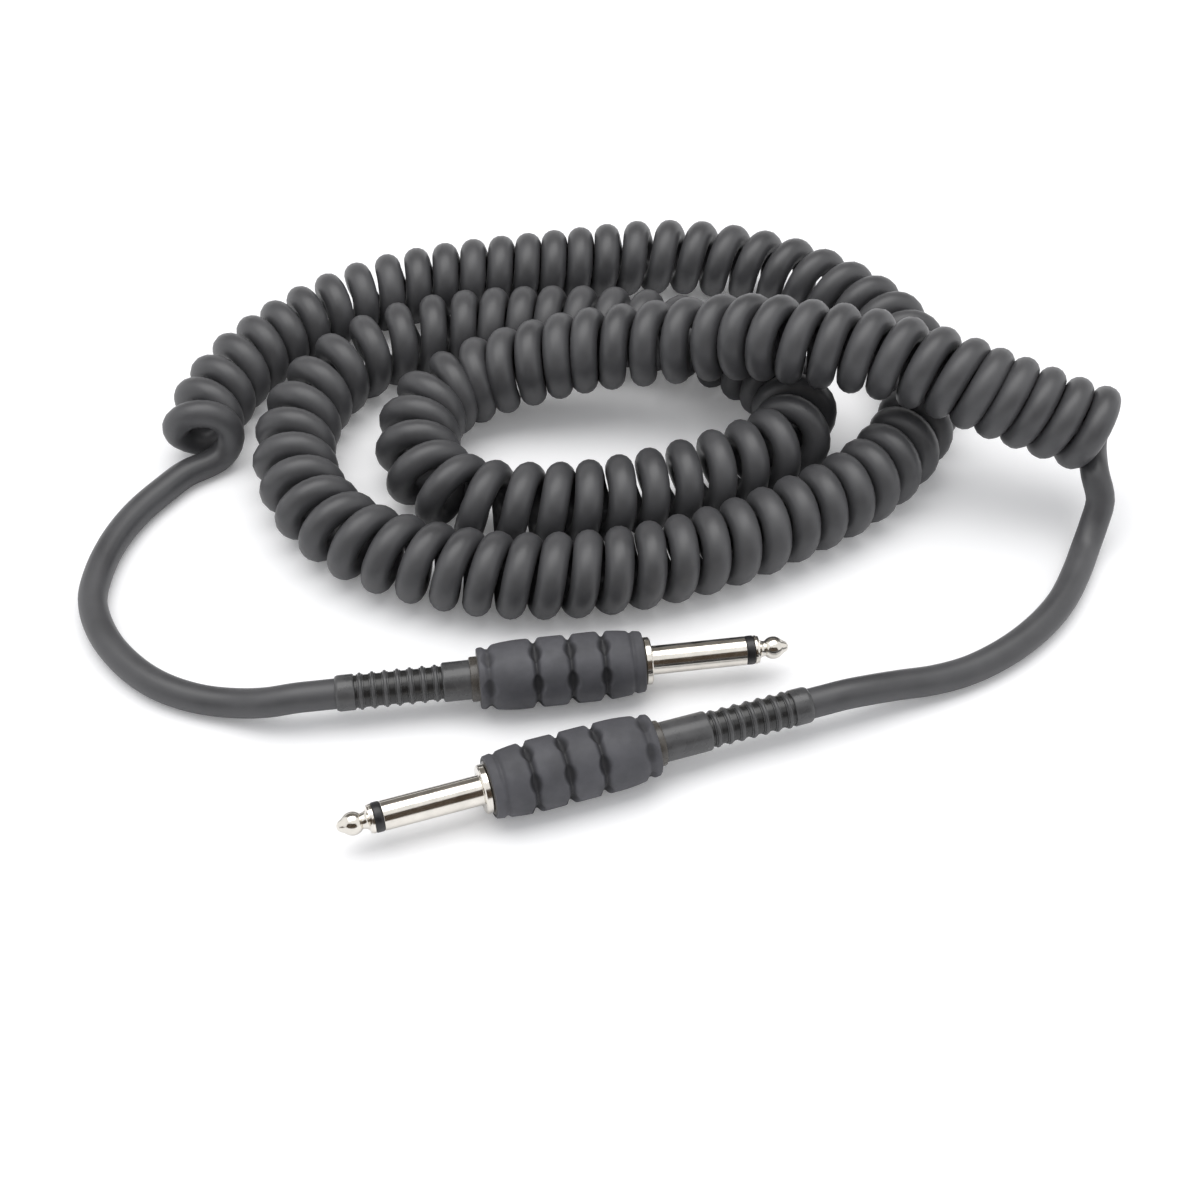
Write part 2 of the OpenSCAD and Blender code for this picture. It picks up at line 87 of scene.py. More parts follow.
# Axis of the coil from plug A's end to plug B's: x, y and how far it is lifted off the table
COIL_AXIS = [
    (-88.5, 87.5, 0), (-90.5, 93.5, 0), (-89, 101.5, 0), (-84.5, 113.5, 0), (-76.5, 124.5, 0),
    (-66.5, 134.5, 0), (-54, 143, 0), (-40, 148.5, 0), (-26, 152, 0), (-12, 154.5, 0),
    (2, 157, 0), (16, 159.5, 0), (30, 159.5, 0), (44, 156.5, 0), (57, 151, 0),
    (69, 142, 0), (78.5, 131.5, 0), (83.5, 119.5, 0), (84.5, 106.5, 0), (81.5, 93.5, 0),
    (74.5, 81.5, 0), (64.5, 71, 0), (51, 62, 0), (35.5, 53.5, 0), (18, 47, 0),
    (0, 43.5, 0), (-18, 43.5, 0), (-35, 47.5, 0), (-50, 54.5, 0), (-61.5, 66.5, 0),
    (-67, 81.5, 0), (-66.5, 95.5, 0), (-62, 108, 0), (-53.5, 118.5, 0), (-42, 125.5, 0),
    (-28, 129.5, 0), (-12, 131, 0), (4, 131, 0), (19.5, 129, 0), (33, 123.5, 0),
    (45, 114, 0), (52, 102.5, 0), (52, 91, 0), (44.5, 83, 0), (31.5, 76, 0),
    (17, 70, 0), (2, 66, 0), (-13, 65.5, 0), (-26, 68, 0), (-35.5, 77, 0),
    (-38, 89, 0), (-35, 100.5, 0), (-25.5, 108, 1), (-13, 109.5, 5), (1, 110.5, 8.5),
    (14, 110.5, 10.5), (26, 108.5, 13.5), (36, 105.5, 17), (46, 101, 20.5), (56, 97.5, 21.5),
    (67, 94.5, 22), (77.9, 90.3, 21.8), (86.2, 86.7, 21.2), (93.4, 83.5, 20), (101.2, 81, 18.3),
    (108.8, 78.9, 16.4), (115.3, 77.2, 14.7), (122.2, 75.8, 12.9),
]

# Free stretches of cord between a plug and the coil: x, y and height of the cord's centre
LEADS = {
    "a": [
        (-66, 9, 6.2), (-73, 10.5, 4.2), (-81.5, 12.5, 3.3), (-91, 16.5, 3.25), (-99.5, 23.5, 3.25),
        (-106, 32.5, 3.25), (-109.5, 42, 3.25), (-109.5, 51, 3.25), (-107.5, 61, 3.25),
        (-103.5, 70.5, 3.25), (-98.5, 78, 3.25),
    ],
    "b": [
        (63.2, 11.8, 7), (70.5, 14.5, 5.6), (78.3, 17.1, 4.2), (85.8, 20.3, 3.4), (93.9, 25.1, 3.25),
        (102, 31.8, 3.25), (109, 40, 3.25), (115.2, 51.5, 3.25), (118.2, 58.5, 3.9), (120.3, 63, 7.2),
        (121.4, 65.8, 11.5),
    ],
}

# Curls counted along the coil's axis: distance in millimetres, curls passed
CURL_COUNT = [
    (0, 0), (15.5, 1.93), (32.3, 3.9), (47.6, 5.89), (63.4, 7.88), (79.1, 9.88), (93.9, 11.88), (108.4, 13.88),
    (122.3, 15.88), (136.5, 17.88), (152.5, 19.87), (168.7, 21.88), (184.9, 23.88), (201.3, 25.89),
    (265.4, 34.07), (280.7, 36.09), (295.7, 38.11), (311, 40.11), (325.8, 42.12), (340.4, 44.12),
    (354.9, 46.12), (369.3, 48.12), (383.8, 50.12), (399.4, 52.11), (415.2, 54.08), (431.2, 55.99),
    (448.4, 57.97), (466.3, 59.92), (484.7, 61.9), (501.8, 63.89), (517.2, 65.96), (531.4, 67.96),
    (547, 69.96), (555.1, 70.96), (614.5, 78.05), (631, 80.08), (647.7, 82.08), (663.2, 84.09),
    (678.1, 86.09), (694.7, 88.08), (750.4, 94.86), (764.6, 96.86), (778.2, 98.86), (794.4, 100.85),
    (811.2, 102.85), (825.4, 104.86), (847.8, 107.86), (863, 109.86), (869.9, 110.86), (875.9, 111.86),
    (882.2, 112.86), (888.8, 113.86), (895.6, 114.86), (903.2, 116),
]

# Finish of each CAD node inside a plug
INNER_FINISHES = {
    "rod_insulator": "nylon_tube", "ground_lug": "tinned_steel", "lug_washer": "phenolic_board",
    "tip_lug": "tinned_steel", "shell_liner": "polyester_liner", "cord_jacket": "pvc_jacket",
    "cord_shield": "copper_braid", "cord_dielectric": "polyethylene", "cord_wire": "copper_strand",
    "tip_solder": "solder", "ground_solder": "solder",
}


# ---- Settings ----


class CordSettings(bpy.types.PropertyGroup):
    """Sizes of the curly cord."""

    cord_d: bpy.props.FloatProperty(
        name="Cord diameter", description="Diameter over the jacket", default=0.00664, min=0.006, max=0.007,
        precision=5, unit="LENGTH")
    first_curl_d: bpy.props.FloatProperty(
        name="First curl", description="Outer diameter of the curls at plug A's end", default=0.0191,
        min=0.0175, max=0.021, precision=4, unit="LENGTH")
    last_curl_d: bpy.props.FloatProperty(
        name="Last curl", description="Outer diameter of the curls at plug B's end", default=0.0211,
        min=0.019, max=0.023, precision=4, unit="LENGTH")
    points_per_curl: bpy.props.IntProperty(
        name="Points per curl", description="Points that the cord's centre line has in each curl", default=24,
        min=12, max=32)


class PlugSettings(bpy.types.PropertyGroup):
    """Sizes of the plugs and what covers them."""

    shaft_d: bpy.props.FloatProperty(
        name="Shaft diameter", description="Diameter of the shaft that enters the socket", default=0.00635,
        min=0.0062, max=0.0065, precision=5, unit="LENGTH")
    ball_d: bpy.props.FloatProperty(
        name="Ball diameter", description="Diameter of the ball on the tip contact", default=0.005,
        min=0.0045, max=0.0055, precision=4, unit="LENGTH")
    thread_pitch: bpy.props.FloatProperty(
        name="Thread pitch", description="Pitch of the thread behind the collar", default=0.001,
        min=0.0007, max=0.0015, precision=4, unit="LENGTH")
    groove_depth: bpy.props.FloatProperty(
        name="Groove depth", description="Depth of the grooves between the grip's pads", default=0.001,
        min=0.0002, max=0.0012, precision=4, unit="LENGTH")
    hollow_depth: bpy.props.FloatProperty(
        name="Hollow depth", description="How much deeper the finger hollows are than the grooves",
        default=0.0006, min=0.0, max=0.0008, precision=4, unit="LENGTH")
    rib_gap_d: bpy.props.FloatProperty(
        name="Rib gap diameter", description="Diameter at the bottom of the gaps between the boot's ribs",
        default=0.00705, min=0.0069, max=0.0075, precision=5, unit="LENGTH")


class ColourSettings(bpy.types.PropertyGroup):
    """Colours of the main finishes, as sRGB hex values."""

    jacket: bpy.props.StringProperty(name="Jacket", description="Cord jacket", default="#48484a")
    grip: bpy.props.StringProperty(name="Grip", description="Rubber grip", default="#4b4b4f")
    boot: bpy.props.StringProperty(name="Boot", description="Strain boot", default="#474748")
    shell: bpy.props.StringProperty(name="Shell", description="Handle shell", default="#4a4641")
    nickel: bpy.props.StringProperty(name="Nickel", description="Plated contacts", default="#e8e3db")
    paper: bpy.props.StringProperty(name="Floor", description="Paper under the cable", default="#f8f8f9")


# ---- Materials ----


def linear(hex_colour):
    """Turns an sRGB hex colour into the linear RGBA that shader sockets take."""
    values = [int(hex_colour.lstrip("#")[i : i + 2], 16) / 255 for i in (0, 2, 4)]
    return tuple(v / 12.92 if v <= 0.04045 else ((v + 0.055) / 1.055) ** 2.4 for v in values) + (1.0,)


def shade(hex_colour, factor):
    """A hex colour made darker or lighter."""
    values = [int(hex_colour.lstrip("#")[i : i + 2], 16) for i in (0, 2, 4)]
    return "#" + "".join("%02x" % max(0, min(255, round(v * factor))) for v in values)


def add_node(tree, kind, settings=None, links=None):
    """Adds a node, sets its properties and input values, and links its inputs."""
    node = tree.nodes.new(kind)
    for key, value in (settings or {}).items():
        if isinstance(key, str) and hasattr(node, key):
            setattr(node, key, value)
        else:
            node.inputs[key].default_value = value
    for key, socket in (links or {}).items():
        tree.links.new(socket, node.inputs[key])
    return node


def new_material(name, settings, side=None):
    """Makes a material with one principled shader.

    Returns it with its tree, its shader and the coordinates of its patterns, in metres: the whole cable's, or with
    a side those of a plug, whose axis is Z and whose shoulder is at 0.
    """
    material = bpy.data.materials.new(name)
    material.use_nodes = True
    tree = material.node_tree
    tree.nodes.clear()
    shader = add_node(tree, "ShaderNodeBsdfPrincipled", settings)
    add_node(tree, "ShaderNodeOutputMaterial", None, {"Surface": shader.outputs[0]})
    space = add_node(tree, "ShaderNodeTexCoord").outputs["Object"]
    if side:
        place = plug_place(side)
        space = add_node(
            tree, "ShaderNodeMapping",
            {"vector_type": "TEXTURE", "Location": place.translation, "Rotation": place.to_euler()},
            {"Vector": space}).outputs[0]
    return material, tree, shader, space


def clouds(tree, space, size_mm, detail, rough=0.55):
    """Soft patches about size_mm across: a noise whose middle is stretched to run from 0 to 1."""
    noise = add_node(
        tree, "ShaderNodeTexNoise", {"Scale": 1000 / size_mm, "Detail": detail, "Roughness": rough},
        {"Vector": space})
    return add_node(
        tree, "ShaderNodeMapRange", {"From Min": 0.3, "From Max": 0.7}, {"Value": noise.outputs["Fac"]}).outputs[0]


def tint(tree, shader, pattern, first, second, groove_shade=None, share=0.0):
    """Colours the surface between two hex colours, with painted shade, where it is given, over the mesh's grooves.
    """
    tone = add_node(
        tree, "ShaderNodeMix", {"data_type": "RGBA", 6: linear(first), 7: linear(second)}, {0: pattern}).outputs[2]
    # the given dark colour is painted shade, laid over the grooves by their depth
    if groove_shade:
        low = add_node(tree, "ShaderNodeAttribute", {"attribute_name": "groove"}).outputs["Fac"]
        factor = add_node(tree, "ShaderNodeMath", {"operation": "MULTIPLY", 1: share}, {0: low}).outputs[0]
        tone = add_node(
            tree, "ShaderNodeMix", {"data_type": "RGBA", 7: linear(groove_shade)}, {0: factor, 6: tone}).outputs[2]
    tree.links.new(tone, shader.inputs["Base Color"])


def polish(tree, shader, pattern, low, high):
    """Lets the roughness run from low to high with a pattern."""
    worn = add_node(tree, "ShaderNodeMapRange", {"To Min": low, "To Max": high}, {"Value": pattern})
    tree.links.new(worn.outputs[0], shader.inputs["Roughness"])


def emboss(tree, shader, pattern, depth_mm):
    """Presses a pattern into the surface, to a depth in millimetres."""
    pressed = add_node(tree, "ShaderNodeBump", {"Strength": 1.0, "Distance": depth_mm * MM}, {"Height": pattern})
    tree.links.new(pressed.outputs[0], shader.inputs["Normal"])


def grain(tree, shader, space, size_mm, detail, depth_mm):
    """Gives the surface a grain about size_mm across."""
    noise = add_node(
        tree, "ShaderNodeTexNoise", {"Scale": 1000 / size_mm, "Detail": detail, "Roughness": 0.55},
        {"Vector": space})
    emboss(tree, shader, noise.outputs["Fac"], depth_mm)


def pvc_jacket(name, colour):
    # Plasticised PVC, extruded: even dark grey with a satin skin, a faint drawn grain and a little bloom
    # that makes some patches paler and duller. The grain, 0.1 mm in life, is drawn at 0.4 mm so that it shows.
    material, tree, shader, space = new_material(name, {"Roughness": 0.46, "IOR": 1.53})
    bloom = clouds(tree, space, 14, 4)
    tint(tree, shader, bloom, shade(colour, 0.9), shade(colour, 1.1))
    polish(tree, shader, bloom, 0.36, 0.48)
    grain(tree, shader, space, 0.4, 2, 0.012)
    return material


def soft_touch_rubber(name, colour):
    # Thermoplastic elastomer, moulded in a finely eroded tool: matt, faintly bluish grey, with a 0.25 mm grain.
    # Patches a few millimetres wide are slightly polished by fingers, and the grooves are darkened with painted
    # shade.
    material, tree, shader, space = new_material(name, {"Roughness": 0.62, "IOR": 1.5})
    worn = clouds(tree, space, 6, 3)
    # the dark colour in the grooves is painted shade
    tint(tree, shader, worn, shade(colour, 0.92), shade(colour, 1.1), groove_shade=shade(colour, 0.4), share=0.8)
    polish(tree, shader, worn, 0.68, 0.54)
    grain(tree, shader, space, 0.25, 2, 0.02)
    return material


def flexible_pvc(name, colour):
    # Soft PVC, injection moulded and polished by the tool: about as dark as the cord but glossier, with flow
    # marks a few millimetres long and painted shade between the ribs
    material, tree, shader, space = new_material(name, {"Roughness": 0.34, "IOR": 1.53})
    flow = clouds(tree, space, 3.5, 3)
    # the dark colour between the ribs is painted shade
    tint(tree, shader, flow, shade(colour, 0.9), shade(colour, 1.12), groove_shade=shade(colour, 0.35), share=0.9)
    polish(tree, shader, flow, 0.24, 0.34)
    grain(tree, shader, space, 0.5, 2, 0.008)
    return material


def abs_plastic(name, colour):
    # ABS, injection moulded: hard, warm black-brown, with a gloss skin that handling has dulled in small spots
    material, tree, shader, space = new_material(name, {"Roughness": 0.28, "IOR": 1.54})
    tint(tree, shader, clouds(tree, space, 5, 3), shade(colour, 0.92), shade(colour, 1.08))
    polish(tree, shader, clouds(tree, space, 0.8, 4, 0.7), 0.22, 0.36)
    grain(tree, shader, space, 0.9, 2, 0.005)
    return material


def black_nylon(name):
    # Polyamide, turned flush with the shaft: nearly black, semi-gloss, with a 0.2 mm grain left by the tool
    material, tree, shader, space = new_material(name, {"Roughness": 0.36, "IOR": 1.53})
    tint(tree, shader, clouds(tree, space, 1.2, 2), "#161517", "#242326")
    grain(tree, shader, space, 0.2, 2, 0.006)
    return material


def nickel_plate(name, colour, side):
    # Brass, turned and bright nickel plated: warm white metal. Turning lines follow the circumference, 0.05 mm
    # apart in life and drawn at 0.18 mm; haze and faint rub marks from sockets vary the polish.
    material, tree, shader, space = new_material(name, {"Metallic": 1.0, "Roughness": 0.14}, side)
    along = add_node(tree, "ShaderNodeSeparateXYZ", None, {"Vector": space}).outputs["Z"]
    lines = add_node(
        tree, "ShaderNodeTexNoise",
        {"noise_dimensions": "1D", "Scale": 1000 / 0.18, "Detail": 2.0, "Roughness": 0.6}, {"W": along})
    haze = clouds(tree, space, 4, 4)
    tint(tree, shader, haze, shade(colour, 0.95), shade(colour, 1.04))
    polish(tree, shader, haze, 0.11, 0.2)
    emboss(tree, shader, lines.outputs["Fac"], 0.0035)
    return material


def tinned_steel(name):
    # Sheet steel, stamped and hot tinned: grey with a soft spangle about a millimetre across
    material, tree, shader, space = new_material(name, {"Metallic": 1.0, "Roughness": 0.34})
    cells = add_node(tree, "ShaderNodeTexVoronoi", {"Scale": 1000 / 1.1}, {"Vector": space})
    spangle = add_node(tree, "ShaderNodeSeparateColor", None, {"Color": cells.outputs["Color"]}).outputs[0]
    tint(tree, shader, spangle, "#a9a9a6", "#c4c4c0")
    polish(tree, shader, spangle, 0.28, 0.42)
    grain(tree, shader, space, 0.3, 2, 0.006)
    return material


def phenolic_board(name):
    # Paper and phenolic resin, pressed and punched: brown, with fibre flecks about 0.4 mm long
    material, tree, shader, space = new_material(name, {"Roughness": 0.42, "IOR": 1.56})
    tint(tree, shader, clouds(tree, space, 0.4, 4, 0.7), "#5b3419", "#84522c")
    grain(tree, shader, space, 0.2, 3, 0.01)
    return material


def polyester_liner(name):
    # Polyester sheet, rolled into a tube: milky and smooth, with faint cloudy patches
    material, tree, shader, space = new_material(name, {"Roughness": 0.3, "IOR": 1.6})
    tint(tree, shader, clouds(tree, space, 3, 3), "#d9d6cb", "#e9e7df")
    polish(tree, shader, clouds(tree, space, 1.5, 3), 0.25, 0.4)
    return material


def nylon_tube(name):
    # Natural polyamide, extruded: ivory, half matt, slightly mottled
    material, tree, shader, space = new_material(name, {"Roughness": 0.4, "IOR": 1.53})
    tint(tree, shader, clouds(tree, space, 1.5, 3), "#d8d1bd", "#e8e3d4")
    grain(tree, shader, space, 0.3, 2, 0.006)
    return material


def polyethylene(name):
    # Solid polyethylene, extruded: waxy translucent white, drawn as a white with faint clouding
    material, tree, shader, space = new_material(name, {"Roughness": 0.38, "IOR": 1.51})
    tint(tree, shader, clouds(tree, space, 2, 3), "#dcdfe0", "#eef0f0")
    grain(tree, shader, space, 0.5, 2, 0.006)
    return material


def winding_angle(tree, space, lay_mm):
    """The angle round a plug's axis, and the angle that a strand turns through along it, once in lay_mm."""
    split = add_node(tree, "ShaderNodeSeparateXYZ", None, {"Vector": space})
    turn = add_node(
        tree, "ShaderNodeMath", {"operation": "ARCTAN2"}, {0: split.outputs["Y"], 1: split.outputs["X"]})
    along = add_node(
        tree, "ShaderNodeMath", {"operation": "MULTIPLY", 1: 1000 * math.tau / lay_mm}, {0: split.outputs["Z"]})
    return turn.outputs[0], along.outputs[0]


def strand_waves(tree, turn, along, way, strands):
    """Ridges of strands that wind one way round a plug's axis, from -1 to 1."""
    angle = add_node(tree, "ShaderNodeMath", {"operation": way}, {0: turn, 1: along}).outputs[0]
    many = add_node(tree, "ShaderNodeMath", {"operation": "MULTIPLY", 1: strands}, {0: angle}).outputs[0]
    return add_node(tree, "ShaderNodeMath", {"operation": "SINE"}, {0: many}).outputs[0]


def copper_braid(name, side):
    # Bare copper wires braided round the insulation: bands of wires about a millimetre wide wind round both
    # ways, once in 9 mm, and the upper band shows where two cross; the wires are painted darker where they dip, as
    # shade
    material, tree, shader, space = new_material(name, {"Metallic": 1.0, "Roughness": 0.32}, side)
    turn, along = winding_angle(tree, space, 9.0)
    right, left = (strand_waves(tree, turn, along, way, 8.0) for way in ("ADD", "SUBTRACT"))
    over = add_node(tree, "ShaderNodeMath", {"operation": "MAXIMUM"}, {0: right, 1: left}).outputs[0]
    strand_shade = add_node(tree, "ShaderNodeMapRange", {"From Min": -0.6, "From Max": 1.0}, {"Value": over})
    # colour runs from painted shade in the dips to bare copper on the tops
    tint(tree, shader, strand_shade.outputs[0], "#5a2c18", "#c67a4f")
    emboss(tree, shader, over, 0.06)
    return material


def copper_strand(name, side):
    # Stranded copper conductor, twisted once in 9 mm: ten strands show round it, with painted shade between them
    material, tree, shader, space = new_material(name, {"Metallic": 1.0, "Roughness": 0.25}, side)
    turn, along = winding_angle(tree, space, 9.0)
    wave = strand_waves(tree, turn, along, "ADD", 10.0)
    strand_shade = add_node(tree, "ShaderNodeMapRange", {"From Min": -1.0, "From Max": 1.0}, {"Value": wave})
    # colour runs from painted shade between the strands to bare copper on their tops
    tint(tree, shader, strand_shade.outputs[0], "#8c4a2a", "#d68c5e")
    emboss(tree, shader, wave, 0.05)
    return material


def solder(name):
    # Tin-lead solder, flowed by hand: bright grey skin with a soft frost and shallow ripples
    material, tree, shader, space = new_material(name, {"Metallic": 1.0, "Roughness": 0.24})
    tint(tree, shader, clouds(tree, space, 0.6, 3), "#9fa0a2", "#c6c7c9")
    polish(tree, shader, clouds(tree, space, 0.4, 3), 0.18, 0.4)
    grain(tree, shader, space, 0.5, 2, 0.03)
    return material


def finish(kind, side=""):
    """The material of one finish, made once. One whose pattern follows the axis is made once for each plug."""
    colours = bpy.context.scene.cable_colours
    makers = {
        "pvc_jacket": lambda name: pvc_jacket(name, colours.jacket),
        "tpe_grip": lambda name: soft_touch_rubber(name, colours.grip),
        "pvc_boot": lambda name: flexible_pvc(name, colours.boot),
        "abs_shell": lambda name: abs_plastic(name, colours.shell),
        "nylon_ring": black_nylon,
        "nickel_plate": lambda name: nickel_plate(name, colours.nickel, side),
        "tinned_steel": tinned_steel,
        "phenolic_board": phenolic_board,
        "polyester_liner": polyester_liner,
        "nylon_tube": nylon_tube,
        "polyethylene": polyethylene,
        "copper_braid": lambda name: copper_braid(name, side),
        "copper_strand": lambda name: copper_strand(name, side),
        "solder": solder,
    }
    name = kind + "_" + side if kind in ("nickel_plate", "copper_braid", "copper_strand") else kind
    return bpy.data.materials.get(name) or makers[kind](name)


# ---- Where things lie ----


def plug_place(side):
    """Matrix from a standing plug, in metres, to where it lies."""
    mount = next(m for m in frame["record"]["mounts"] if m["name"] == "plug_%s_sleeve" % side)
    ahead = Vector(mount["axis"]).normalized()
    down = Vector((0, 0, -1))
    across = ahead.cross(down)
    shoulder = Vector(mount["pos_m"]) - ahead * SHAFT_MIDDLE * MM
    place = Matrix((down, across, ahead)).transposed().to_4x4()
    place.translation = shoulder
    return place


def on_axis(side, station):
    """The point in the scene of a station on a plug's axis."""
    return plug_place(side) @ Vector((0, 0, station * MM))


def boot_end(side):
    """Station of the end of a boot's collar, where the cord comes out."""
    return SHELL_BACK - BOOT_LENGTH + BOOT_IN[side]


def ease(t, start, end, start_slope, end_slope):
    """A cubic from start to end, with its slopes for the whole span."""
    return (
        (2 * t**3 - 3 * t**2 + 1) * start + (t**3 - 2 * t**2 + t) * start_slope
        + (3 * t**2 - 2 * t**3) * end + (t**3 - t**2) * end_slope)


def smooth_path(points, step):
    """A smooth curve through points, with about one point for each step, its speed set by their distances."""
    count = len(points)
    gaps = [(points[i + 1] - points[i]).length for i in range(count - 1)]
    slopes = []
    for i in range(count):
        if i in (0, count - 1):
            slopes.append((points[min(i + 1, count - 1)] - points[max(i - 1, 0)]) / gaps[min(i, count - 2)])
            continue
        before, after = gaps[i - 1], gaps[i]
        slopes.append(
            ((points[i] - points[i - 1]) * after / before + (points[i + 1] - points[i]) * before / after)
            / (before + after))
    out = []
    for i in range(count - 1):
        parts = max(2, round(gaps[i] / step))
        for k in range(parts):
            out.append(
                ease(k / parts, points[i], points[i + 1], gaps[i] * slopes[i], gaps[i] * slopes[i + 1]))
    out.append(points[-1])
    return out


def even_spline(points, per):
    """Catmull-Rom curve with a number of steps for each span, as the CAD part has it."""
    out = []
    for i in range(len(points) - 1):
        a, b, c, d = points[max(i - 1, 0)], points[i], points[i + 1], points[min(i + 2, len(points) - 1)]
        for k in range(per):
            t = k / per
            out.append(0.5 * (
                2 * b + (c - a) * t + (2 * a - 5 * b + 4 * c - d) * t * t + (3 * b - a - 3 * c + d) * t**3))
    out.append(points[-1])
    return out


def steady(x, table):
    """Reads a rising table at x, smoothly and without overshoot."""
    steps = [(b[1] - a[1]) / (b[0] - a[0]) for a, b in zip(table, table[1:])]
    slopes = [steps[0]] + [2 * a * b / (a + b) for a, b in zip(steps, steps[1:])] + [steps[-1]]
    i = max(k for k in range(len(steps)) if k == 0 or table[k][0] <= x)
    width = table[i + 1][0] - table[i][0]
    t = (x - table[i][0]) / width
    return ease(t, table[i][1], table[i + 1][1], width * slopes[i], width * slopes[i + 1])


def curl_points(cord):
    """Centre of the cord through all its curls, in metres."""
    per_curl = cord.points_per_curl
    steps = 16  # of the axis curve, for each span
    first, last = cord.first_curl_d / MM, cord.last_curl_d / MM
    cord_d = cord.cord_d / MM
    count = len(COIL_AXIS)
    axis = even_spline(
        [Vector((x, y, lift + (first + (last - first) * i / (count - 1)) / 2))
         for i, (x, y, lift) in enumerate(COIL_AXIS)], steps)
    total = len(axis) - 1
    run = [0.0]
    for a, b in zip(axis, axis[1:]):
        run.append(run[-1] + (b - a).length)
    scale = CURL_COUNT[-1][0] / run[-1]
    turns = [steady(s * scale, CURL_COUNT) for s in run]
    out = []
    i = 0
    for k in range(round(turns[-1] * per_curl) + 1):
        turn = min(k / per_curl, turns[-1])
        while i < total - 1 and turns[i + 1] < turn:
            i += 1
        t = (turn - turns[i]) / (turns[i + 1] - turns[i])
        centre = axis[i].lerp(axis[i + 1], t)
        # heading over most of a span, so that the curls don't jerk from point to point
        ahead = (axis[min(i + 7, total)] - axis[max(i - 6, 0)]).normalized()
        left = Vector((0, 0, 1)).cross(ahead).normalized()
        up = ahead.cross(left)
        radius = (first + (last - first) * (i + t) / total - cord_d) / 2
        angle = math.tau * turn
        out.append((centre - radius * (math.cos(angle) * up + math.sin(angle) * left)) * MM)
    return out


# ---- Mesh helpers ----


def turned(profile, steps, closed=False):
    """Spins a profile of (radius, station) points in millimetres round +Z."""
    bm = bmesh.new()
    verts = [bm.verts.new((r * MM, 0, z * MM)) for r, z in profile]
    edges = [bm.edges.new(pair) for pair in zip(verts, verts[1:])]
    if closed:
        edges.append(bm.edges.new((verts[-1], verts[0])))
    bmesh.ops.spin(
        bm, geom=verts + edges, cent=(0, 0, 0), axis=(0, 0, 1), angle=math.tau, steps=steps, use_merge=True,
        use_duplicate=False)
    bmesh.ops.remove_doubles(bm, verts=bm.verts, dist=2e-7)
    bmesh.ops.recalc_face_normals(bm, faces=bm.faces)
    return bm


def round_points(centre_r, centre_z, radius, start, end, steps):
    """Points of an arc in a profile, angles in degrees from straight outwards towards the tip."""
    return [
        (centre_r + radius * math.cos(math.radians(start + (end - start) * k / steps)),
         centre_z + radius * math.sin(math.radians(start + (end - start) * k / steps)))
        for k in range(steps + 1)
    ]


def mark_grooves(bm, lowness):
    """Stores how far down in a groove each vertex lies, from 0 to 1, for its finish to paint shade with."""
    layer = bm.verts.layers.float.new("groove")
    for vert in bm.verts:
        vert[layer] = max(0.0, min(1.0, lowness(vert.co)))


def add_object(name, bm, material):
    """Puts a mesh in the scene, at the origin, with one material."""
    mesh = bpy.data.meshes.new(name)
    bm.to_mesh(mesh)
    bm.free()
    mesh.materials.append(material)
    piece = bpy.data.objects.new(name, mesh)
    bpy.context.scene.collection.objects.link(piece)
    return piece


def set_piece(name, bm, side, body, material, node, angle=35):
    """Lays a standing mesh on its plug's place, with its body, finish and the CAD node it stands for."""
    bmesh.ops.transform(bm, matrix=plug_place(side), verts=bm.verts)
    piece = add_object(name + "_" + side, bm, material)
    piece.data.shade_smooth()
    piece.data.set_sharp_from_angle(angle=math.radians(angle))
    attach(piece, body)
    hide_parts(node + "_" + side)


# ---- Operators ----


class CABLE_OT_place_camera(bpy.types.Operator):
    """Place the camera in front of the plugs, looking down at the coil"""

    bl_idname = "cable.place_camera"
    bl_label = "Place the camera"

    def execute(self, context):
        data = bpy.data.cameras.new("view_camera")
        data.sensor_width = 36.0
        data.lens = CAMERA_LENS
        data.clip_start = 0.01
        data.clip_end = 20.0
        camera = bpy.data.objects.new("view_camera", data)
        camera.location = CAMERA_AT
        camera.rotation_euler = (math.radians(CAMERA_TILT), 0.0, 0.0)
        context.scene.collection.objects.link(camera)
        context.scene.camera = camera
        return {"FINISHED"}


class CABLE_OT_lay_cord(bpy.types.Operator):
    """Lay the cord in one unbroken run from inside boot A, through all its curls, to inside boot B"""

    bl_idname = "cable.lay_cord"
    bl_label = "Lay the curly cord"

    def execute(self, context):
        cord = context.scene.cable_cord
        curls = curl_points(cord)
        ends = {}
        for side, (at, inner) in {"a": (curls[0], curls[1]), "b": (curls[-1], curls[-2])}.items():
            out = at - inner
            out.z = 0.0
            face = at + out.normalized() * CORD_D * MM
            # from 8 mm inside the boot, along its axis, to the end of the straight stub behind it
            start = [on_axis(side, boot_end(side) + back) for back in (8, 2, -STUB / 2, -STUB)]
            middle = [Vector(p) * MM for p in LEADS[side]]
            ends[side] = smooth_path(start + middle + [face, at, inner], step=0.0015)
            # the step from the first curl's end to its inner neighbour only gives the lead its direction
            while (ends[side][-1] - at).length > 1e-9:
                ends[side].pop()
        points = ends["a"][:-1] + curls + ends["b"][:-1][::-1]
        curve = bpy.data.curves.new("curly_cord", "CURVE")
        curve.dimensions = "3D"
        curve.bevel_depth = cord.cord_d / 2
        curve.bevel_resolution = 6
        curve.use_fill_caps = True
        curve.twist_mode = "MINIMUM"
        spline = curve.splines.new("POLY")
        spline.points.add(len(points) - 1)
        for point, at in zip(spline.points, points):
            point.co = (*at, 1.0)
        spline.use_smooth = True
        curve.materials.append(finish("pvc_jacket"))
        piece = bpy.data.objects.new("curly_cord", curve)
        context.scene.collection.objects.link(piece)
        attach(piece, "cable")
        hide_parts("cord_lead_a", "cord_curls", "cord_lead_b")
        tuple(on_axis("a", boot_end("a")))
        return {"FINISHED"}


